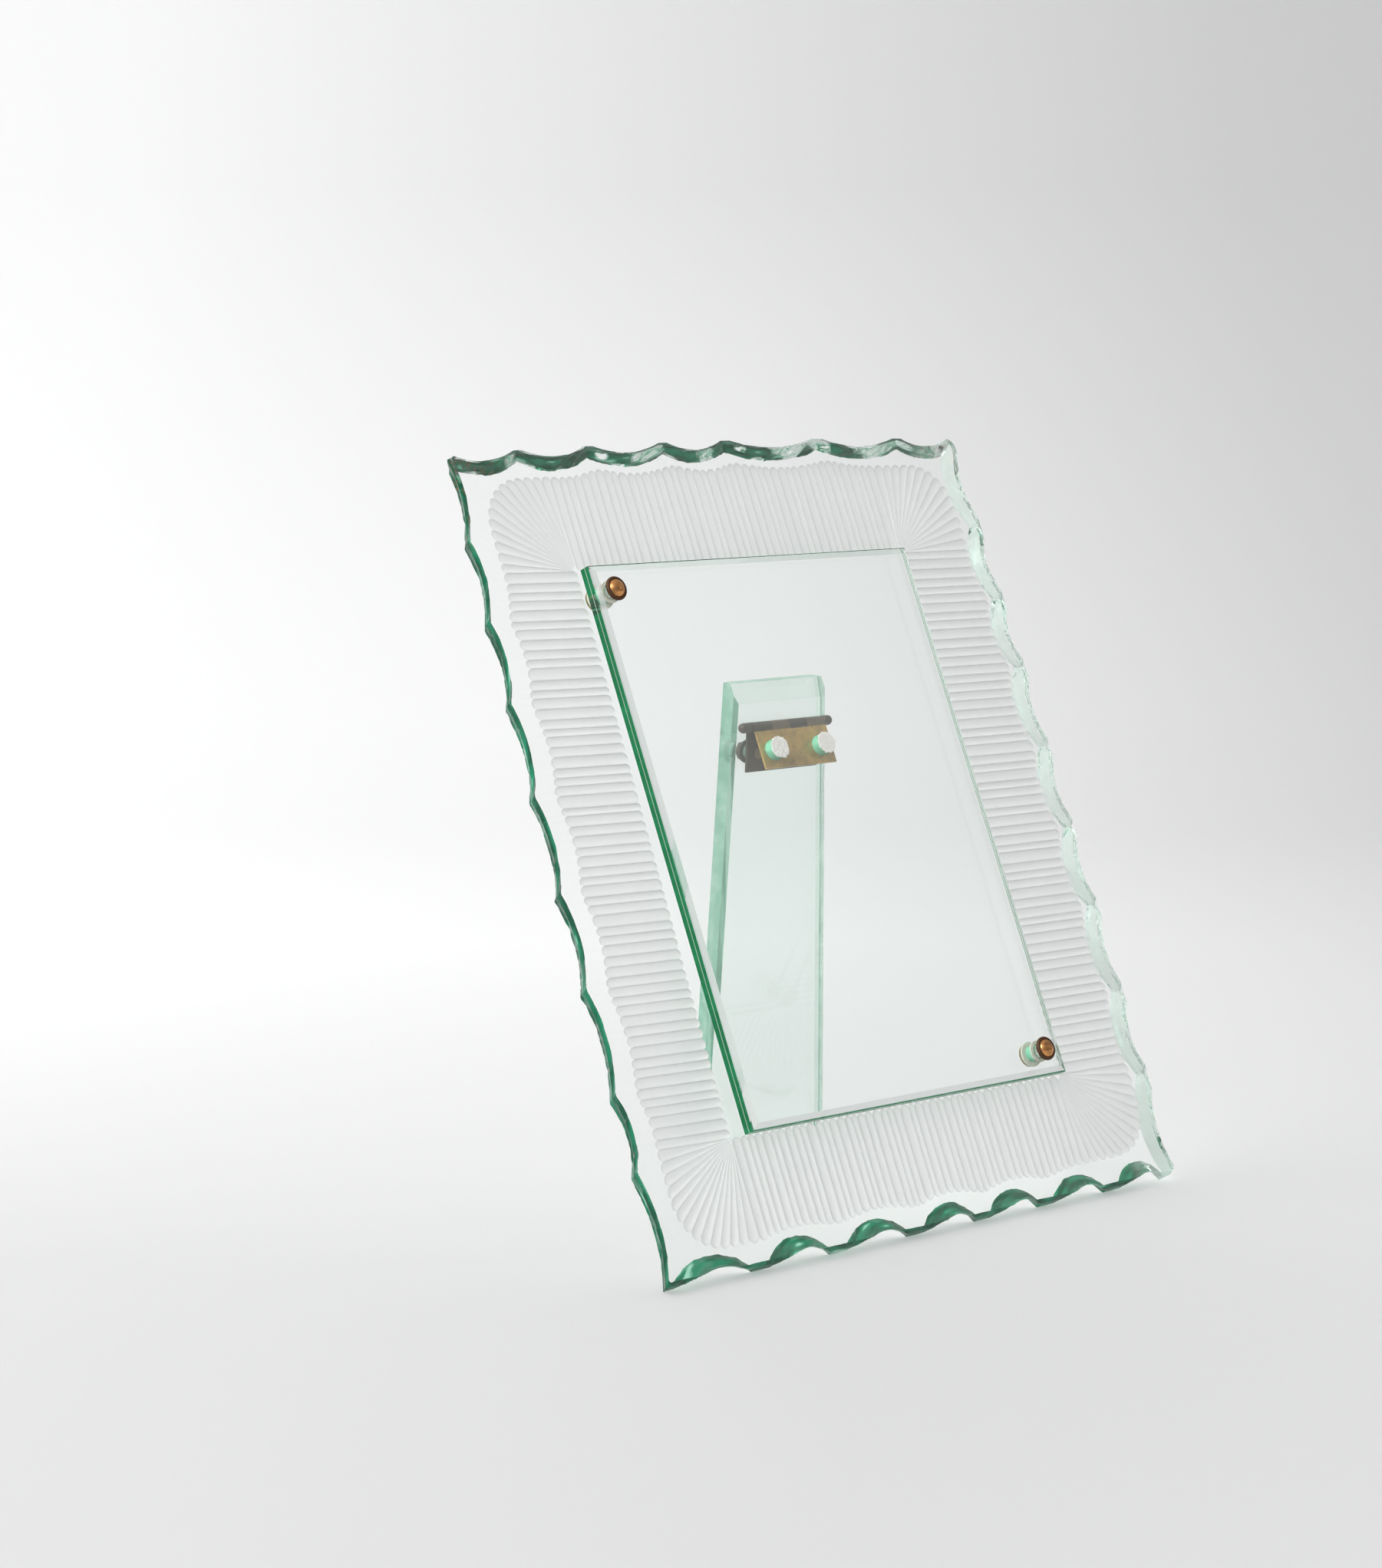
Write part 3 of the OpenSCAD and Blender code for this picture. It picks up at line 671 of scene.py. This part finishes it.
def corner_path(q, a, b):
    """Point at share q of the rounded corner between reach a of one side and reach b of the next."""
    arc = math.pi / 2 * FAN_CORNER
    straight = b - FAN_CORNER
    run = q * (a + b - 2 * FAN_CORNER + arc)
    if run < straight:
        return a, run
    if run < straight + arc:
        turn = (run - straight) / FAN_CORNER
        return a - FAN_CORNER + FAN_CORNER * math.cos(turn), straight + FAN_CORNER * math.sin(turn)
    return a - FAN_CORNER - (run - straight - arc), b


def crest_lines():
    """Lines between the flutes, all round: inner ends, outer ends, and how far round the edge they lie.

    A side counts as 1 of that way round.
    """
    inner, outer, lap = [], [], []
    uneven = np.random.RandomState(23).uniform(-1, 1, 80)
    for s, side in enumerate(SIDES):
        a, b = BAND[s], BAND[(s + 1) % 4]
        out = np.array((b - a)[::-1]) * (1, -1) / np.linalg.norm(b - a)
        count = int(np.linalg.norm(b - a) / FLUTE_PITCH)
        for i in range(count + 1):
            nudge = 0.16 * uneven[i] if 0 < i < count else 0.0
            p = a + (b - a) * (i + nudge) / count
            end = p + out * side.reach(p)
            inner.append(p)
            outer.append(end)
            lap.append(s + np.dot(end - side.a, side.along) / side.length)
        follower = SIDES[(s + 1) % 4]
        ahead = np.array((-out[1], out[0]))
        reach_a, reach_b = side.reach(b), follower.reach(b)
        last = lap[-1]
        first = s + 1 + np.dot(b + ahead * reach_b - follower.a, follower.along) / follower.length
        for i in range(1, FAN):
            x, y = corner_path(i / FAN, reach_a, reach_b)
            ray = out * x + ahead * y
            half = i / FAN * 2
            inner.append(b + ray / np.linalg.norm(ray) * FAN_START)
            outer.append(b + ray)
            if half <= 1:
                lap.append(last + (s + 1 - last) * half)
            else:
                lap.append(s + 1 + (first - s - 1) * (half - 1))
    return np.array(inner), np.array(outer), np.array(lap)


def corner_cut(corner, up):
    """Where the edges of two sides meet: the distance along the later side, and along the earlier one."""
    earlier, later = SIDES[(corner - 1) % 4], SIDES[corner % 4]
    on_later = on_earlier = 0.0
    for _ in range(20):
        on_later = earlier.inset(earlier.length - on_earlier, up)[0]
        on_earlier = later.inset(on_later, up)[0]
    return on_later, on_earlier


def edge_ring(lap, up):
    """The plate's edge at a height above its back face."""
    at = np.floor(lap).astype(int) % 4
    share = lap - np.floor(lap)
    ring = np.zeros((len(lap), 3))
    ring[:, 2] = up - PLATE_T
    for index, side in enumerate(SIDES):
        before, after = corner_cut(index, up)[0], corner_cut(index + 1, up)[1]
        ring[at == index, :2] = side.edge(share[at == index], up, before, after)
    return ring


def plate_rings():
    """Rings from the inner flute ends, over the edge, to the back, with their band marks and the marks of
    painted shade on the flutes' crests and ends.
    """
    inner, outer, lap = crest_lines()
    count = len(lap)
    wide = np.linalg.norm(np.roll(outer, -1, axis=0) - outer, axis=1)
    wobble = np.random.RandomState(7).uniform(-1, 1, count)

    def spread(values, following):
        shares = ACROSS.reshape((1, -1) + (1,) * (values.ndim - 1))
        mixed = values[:, None] + (following - values)[:, None] * shares
        return mixed.reshape((-1,) + values.shape[1:])

    start = spread(inner, np.roll(inner, -1, axis=0))
    end = spread(outer, np.roll(outer, -1, axis=0))
    where = spread(lap, np.append(lap[1:], lap[0] + 4))
    f = np.tile(ACROSS, count)
    width = np.repeat(wide, len(ACROSS))
    run = np.linalg.norm(end - start, axis=1)
    rounding = width / 2 * (1 - np.sqrt(np.clip(1 - (2 * f - 1) ** 2, 0, 1)))
    narrow = np.linalg.norm(np.roll(inner, -1, axis=0) - inner, axis=1) / wide
    slim = np.repeat(narrow, len(ACROSS))
    low = rounding * slim * 0.9 / run
    high = 1 - rounding / run
    crest = np.clip(1 - np.minimum(f, 1 - f) / 0.12, 0, 1)
    deep = FLUTE_DEPTH * np.repeat(1 + 0.12 * wobble, len(ACROSS)) * 4 * f * (1 - f)
    rings, crests = [], []
    # Each ring's crest mark paints shade on the crests, and thin dark lines of painted shade at the flutes'
    # ends
    for step, sink, dirt_and_end_shade in ALONG:
        t = (low + (high - low) * step)[:, None]
        wide_here = np.minimum(1, slim + (1 - slim) * t[:, 0])
        rings.append(np.column_stack((start + (end - start) * t, -deep * sink * wide_here)))
        crests.append(np.maximum(crest, dirt_and_end_shade) * wide_here ** 1.5)
    margin = start + (end - start) * (high + 0.2 / run)[:, None]
    rings.append(np.column_stack((margin, np.zeros(len(f)))))
    crests += [np.zeros(len(f))] * (1 + len(LEVELS))
    bands = [np.zeros(len(f))] * (len(ALONG) + 1)
    for up in LEVELS:
        rings.append(edge_ring(where, up))
        bands.append(0.5 + 0.5 * ripple(COARSE, where * 42 + up * 0.2, np.full(len(f), up / 1.9 + 7)))
    return rings, np.concatenate(crests), np.concatenate(bands)


STUD_HOLES = [(-BUTTON_X, BUTTON_Y, STUD_BORE), (BUTTON_X, -BUTTON_Y, STUD_BORE)]
PLUG_HOLES = [(-PLUG_X, PLUG_Y, PLUG_BORE), (PLUG_X, PLUG_Y, PLUG_BORE)]


def make_plate():
    rings, crests, bands = plate_rings()
    margin = len(ALONG)
    points, faces, kinds = slab(rings, STUD_HOLES + PLUG_HOLES, level=margin)
    plate = make_piece(
        "plate", points, faces, glass("plate glass", PLATE_GREENS, fluted=True), ON_PLATE, crease=18.0
    )
    plate.data.polygons.foreach_set("use_smooth", ~np.isin(kinds, (END, margin - 1, margin)))
    # The edge is green, but nearly clear on the right side and in patches along the top
    x, y, z = middles_of(points, faces).T
    wall = kinds > margin
    right = np.clip((x - 122) / 16, 0, 1)
    glint = np.clip(2.8 * ripple(COARSE, x / 10 + 9, z / 4 + 3) - 0.4, 0, 0.9)
    strength = (1 - 0.78 * right) * (1 - glint * (y > 160))
    mark(plate, "edge", np.where(wall, strength, np.where(kinds == HOLE, 1, 0)))
    mark(plate, "bore", kinds == HOLE)
    mark(plate, "satin", (kinds >= 0) & (kinds < margin))
    # Brown dirt sits in the chips near the upper corners
    corner = np.hypot(np.abs(x) - 142, y - 168)
    patch = ripple(COARSE, x / 5, z / 2.5 + y / 6)
    mark(plate, "dirt_and_end_shade", wall * np.clip(1.25 - corner / 32, 0, 1) * np.clip(patch * 2 + 0.6, 0, 1))
    for name, values in (("crest", crests), ("band", bands)):
        mark(plate, name, np.concatenate((values, np.zeros(len(points) - len(values)))), "POINT")
    stand_for(plate, "main_plate", "frame")
    plate.visible_shadow = False


def box_ring(inset, z, steps=60):
    """The panel's outline, drawn in by an inset, at a height above the plate."""
    x, y = PANEL_X - inset, PANEL_Y - inset
    corners = np.array([(-x, -y, z), (x, -y, z), (x, y, z), (-x, y, z)])
    ring = []
    for a, b in zip(corners, np.roll(corners, -1, axis=0)):
        ring += [tuple(a + (b - a) * i / steps) for i in range(steps)]
    return ring


def make_panel():
    """The rings bound the bevel, its outer strip, the side with a strip in it that is painted as a highlight
    line, and the back arris.
    """
    sizes = [
        (PANEL_BEVEL, PANEL_FRONT), (0.6, 5.88), (0, 5.7), (0, 3.7), (0, 3.4), (0, 0.85), (0.25, PANEL_BACK),
    ]
    points, faces, kinds = slab([box_ring(*size) for size in sizes], STUD_HOLES)
    panel = make_piece("panel", points, faces, glass("panel glass", PANEL_GREENS), ON_PLATE, crease=5.0)
    # The stud and its ring show through the edge beside a button
    x, y, _ = middles_of(points, faces).T
    beside = np.clip((np.abs(np.abs(y) - 105) - 2.6) / 1.2, 0.12, 1)
    beside[x * y > 0] = 1
    far = (x > PANEL_X - 1.0) | (y > PANEL_Y - 0.8)
    left, bottom = x < PANEL_BEVEL - PANEL_X, y < PANEL_BEVEL - PANEL_Y
    strength = np.choose(kinds - HOLE, (0.5, 0.0, 0.1, 0.85, 1.0, 1.0, 1.0, 1.0))
    strength *= np.where(kinds > 1, beside, 1)
    strength[(kinds == 1) & ~bottom] = 0.1
    mark(panel, "edge", strength * np.where(far, 0.35, 1))
    bevel, line = kinds == 0, kinds == 3
    # Painted reflection: the bottom bevel, the left bevel and a strip in the left side are painted white
    mark(panel, "white", np.select([bevel & bottom, bevel & left, line & left], [1.0, 0.5, 0.55]))
    stand_for(panel, "front_panel", "frame")
    panel.visible_shadow = False


# The strut: half the width of its bar at the foot and at the top, the bar's ends and its front face as seen
# from the hinge pin, its thickness and bevel, its bolt holes, and its gap to the plate when it is open
STRUT_FOOT, STRUT_TOP, STRUT_LOW, STRUT_HIGH = 36, 26.5, -208.9, 18
STRUT_FRONT, STRUT_T, STRUT_BEVEL = -2.45, 10.0, 1.6
BOLT_Y, BOLT_BORE, STOP_GAP = -11.5, 3.25, 0.2


def make_strut():
    """The strut is cut from a tapered bar by the plane of the plate's back and by the table."""
    def ring(inset, z):
        foot, top = STRUT_FOOT - inset, STRUT_TOP - inset
        return [(-foot, STRUT_LOW, z), (foot, STRUT_LOW, z), (top, STRUT_HIGH, z), (-top, STRUT_HIGH, z)]

    back = STRUT_FRONT - STRUT_T
    rings = [
        ring(STRUT_BEVEL, STRUT_FRONT), ring(0, STRUT_FRONT - STRUT_BEVEL),
        ring(0, back + STRUT_BEVEL), ring(STRUT_BEVEL, back),
    ]
    holes = [(-PLUG_X, BOLT_Y, BOLT_BORE), (PLUG_X, BOLT_Y, BOLT_BORE)]
    points, faces, _ = slab(rings, holes)
    material = glass("strut glass", STRUT_GREENS, clear=STRUT_CLEAR)
    strut = make_piece("strut_glass", points, faces, material, ON_STRUT, crease=5.0)
    work = bmesh.new()
    work.from_mesh(strut.data)
    out = ON_PLATE.to_3x3() @ Vector((0, 0, 1))
    behind_plate = place(0, 0, -PLATE_T - STOP_GAP).translation / 1000
    for spot, normal in ((behind_plate, out), (Vector((0, 0, 0)), Vector((0, 0, -1)))):
        everything = work.verts[:] + work.edges[:] + work.faces[:]
        bmesh.ops.bisect_plane(work, geom=everything, plane_co=spot, plane_no=normal, clear_outer=True)
        bmesh.ops.holes_fill(work, edges=[e for e in work.edges if e.is_boundary], sides=0)
    bmesh.ops.recalc_face_normals(work, faces=work.faces)
    work.to_mesh(strut.data)
    work.free()
    strut.data.set_sharp_from_angle(angle=math.radians(5))
    facing = ON_STRUT.to_3x3() @ Vector((0, 0, 1))
    turned = np.array([abs(p.normal.dot(facing)) for p in strut.data.polygons])
    crown = np.array([p.normal.z > 0.9 for p in strut.data.polygons])
    kinds = [crown, turned > 0.95, turned > 0.8, turned > 0.5]
    mark(strut, "edge", np.select(kinds, [1.0, 0.0, 0.1, 0.3], 0.6))
    stand_for(strut, "strut", "strut_leg")
    strut.visible_shadow = False


# Brass and plaster


# The buttons: their thread's bore and depth, the rolled rim's ring and roundness, and the dome
BUTTON_BORE, BORE_DEPTH, RIM_RING, RIM_ROUND = 2.05, 2.5, 4.15, 1.05
DOME_RADIUS, DOME_RISE, DOME_TOP = 3.9, 2.0, 3.8
DOME_BALL = (DOME_RADIUS ** 2 + DOME_RISE ** 2) / (2 * DOME_RISE)


def make_button(name, side, material):
    profile = [(0, BORE_DEPTH, 1), (BUTTON_BORE, BORE_DEPTH, 1), (BUTTON_BORE, 0, 1)]
    for a in np.radians(range(-90, 91, 15)):
        profile.append((RIM_RING + RIM_ROUND * math.cos(a), RIM_ROUND + RIM_ROUND * math.sin(a), 1.0))
    profile += [(4.02, 1.86, 1.0), (3.92, 1.78, 0.9)]
    steep = math.asin(DOME_RADIUS / DOME_BALL)
    for share in np.linspace(1, 0, 13)[:-1]:
        height = DOME_TOP - DOME_BALL + DOME_BALL * math.cos(steep * share)
        profile.append((DOME_BALL * math.sin(steep * share), height, 0.75 if share > 0.99 else 0.0))
    profile.append((0, DOME_TOP, 0.0))
    where = place(-BUTTON_X * side, BUTTON_Y * side, BUTTON_SEAT)
    button = spin(name + "_cap", profile, material, where)
    stand_for(button, name, name + "_cap")


def make_plug(name, side, material):
    """Plaster that fills a hole, with a ragged lump smeared round its front."""
    profile = [
        (0, -8, 0), (4.4, -7.95, 0), (4.45, -7.6, 0), (4.45, -0.05, 0), (4.5, 0.03, 0.5), (4.85, 0.05, 1),
        (4.85, 0.2, 1),
    ]
    profile += [(radius, 0.33, 1) for radius in np.linspace(4.6, 0.3, 14)]
    profile.append((0, 0.33, 1))
    table = lattice(11 + side)

    def lump(points, marks):
        x, y, z = points.T
        turn = np.arctan2(y, x) / math.pi * 17 + 24
        size = 1 + (0.11 * ripple(table, turn, z * 6 + 5) - 0.02) * marks * (z < 0.3)
        rough = 0.12 * ripple(table, x / 0.6 + 30, y / 0.6 + 30) * (z > 0.25)
        return np.column_stack((x * size, y * size, z + rough))

    plug = spin(name + "_lump", profile, material, place(PLUG_X * side, PLUG_Y, 0), turns=136, lump=lump)
    stand_for(plug, name, "frame")


def dress(material, *nodes, edge=0.0):
    """Gives CAD nodes their finish, and rounds their edges by a width in millimetres."""
    for node in nodes:
        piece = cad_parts[node]
        piece.data.materials.clear()
        piece.data.materials.append(material)
        if edge:
            soft = piece.modifiers.new("soft edge", "BEVEL")
            soft.width = edge / 1000
            soft.segments = 2
            soft.limit_method = "ANGLE"
            soft.angle_limit = math.radians(40)
            soft.harden_normals = True


make_plate()
make_panel()
make_strut()
button_brass = aged_brass("button brass", BUTTON_BRASS, 0.15, marked=True)
make_button("upper_button", 1, button_brass)
make_button("lower_button", -1, button_brass)
plaster = plain("plaster", PLASTER, 0.95, 2000.0, 0.6)
make_plug("left_plaster_plug", -1, plaster)
make_plug("right_plaster_plug", 1, plaster)
barrel_start = (place(0, HINGE_V - 2.6, PIN_N).translation / 1000).dot(UP_PLATE)
hinge_brass = aged_brass("hinge brass", HINGE_BRASS, 0.5, metal=0.5, barrel=barrel_start)
dark_brass = aged_brass("dark brass", DARK_BRASS, 0.8, metal=0.6)
screw_brass = aged_brass("screw brass", SCREW_BRASS, 0.5)
fibre = plain("fibre", FIBRE, 0.9, 700.0, 0.4)
dark = plain("dark washer", DARK_WASHER, 0.6, 700.0, 0.3)
dress(hinge_brass, "hinge_front_leaf", edge=0.12)
dress(dark_brass, "hinge_rear_leaf", "hinge_pin", edge=0.12)
dress(screw_brass, "upper_stud", "lower_stud", "left_hinge_screw", "right_hinge_screw")
dress(screw_brass, "left_strut_bolt", "right_strut_bolt")
dress(dark_brass, "left_strut_nut", "right_strut_nut")
dress(fibre, "upper_spacer", "lower_spacer", "upper_back_washer", "lower_back_washer")
dress(dark, "left_strut_washer", "right_strut_washer")
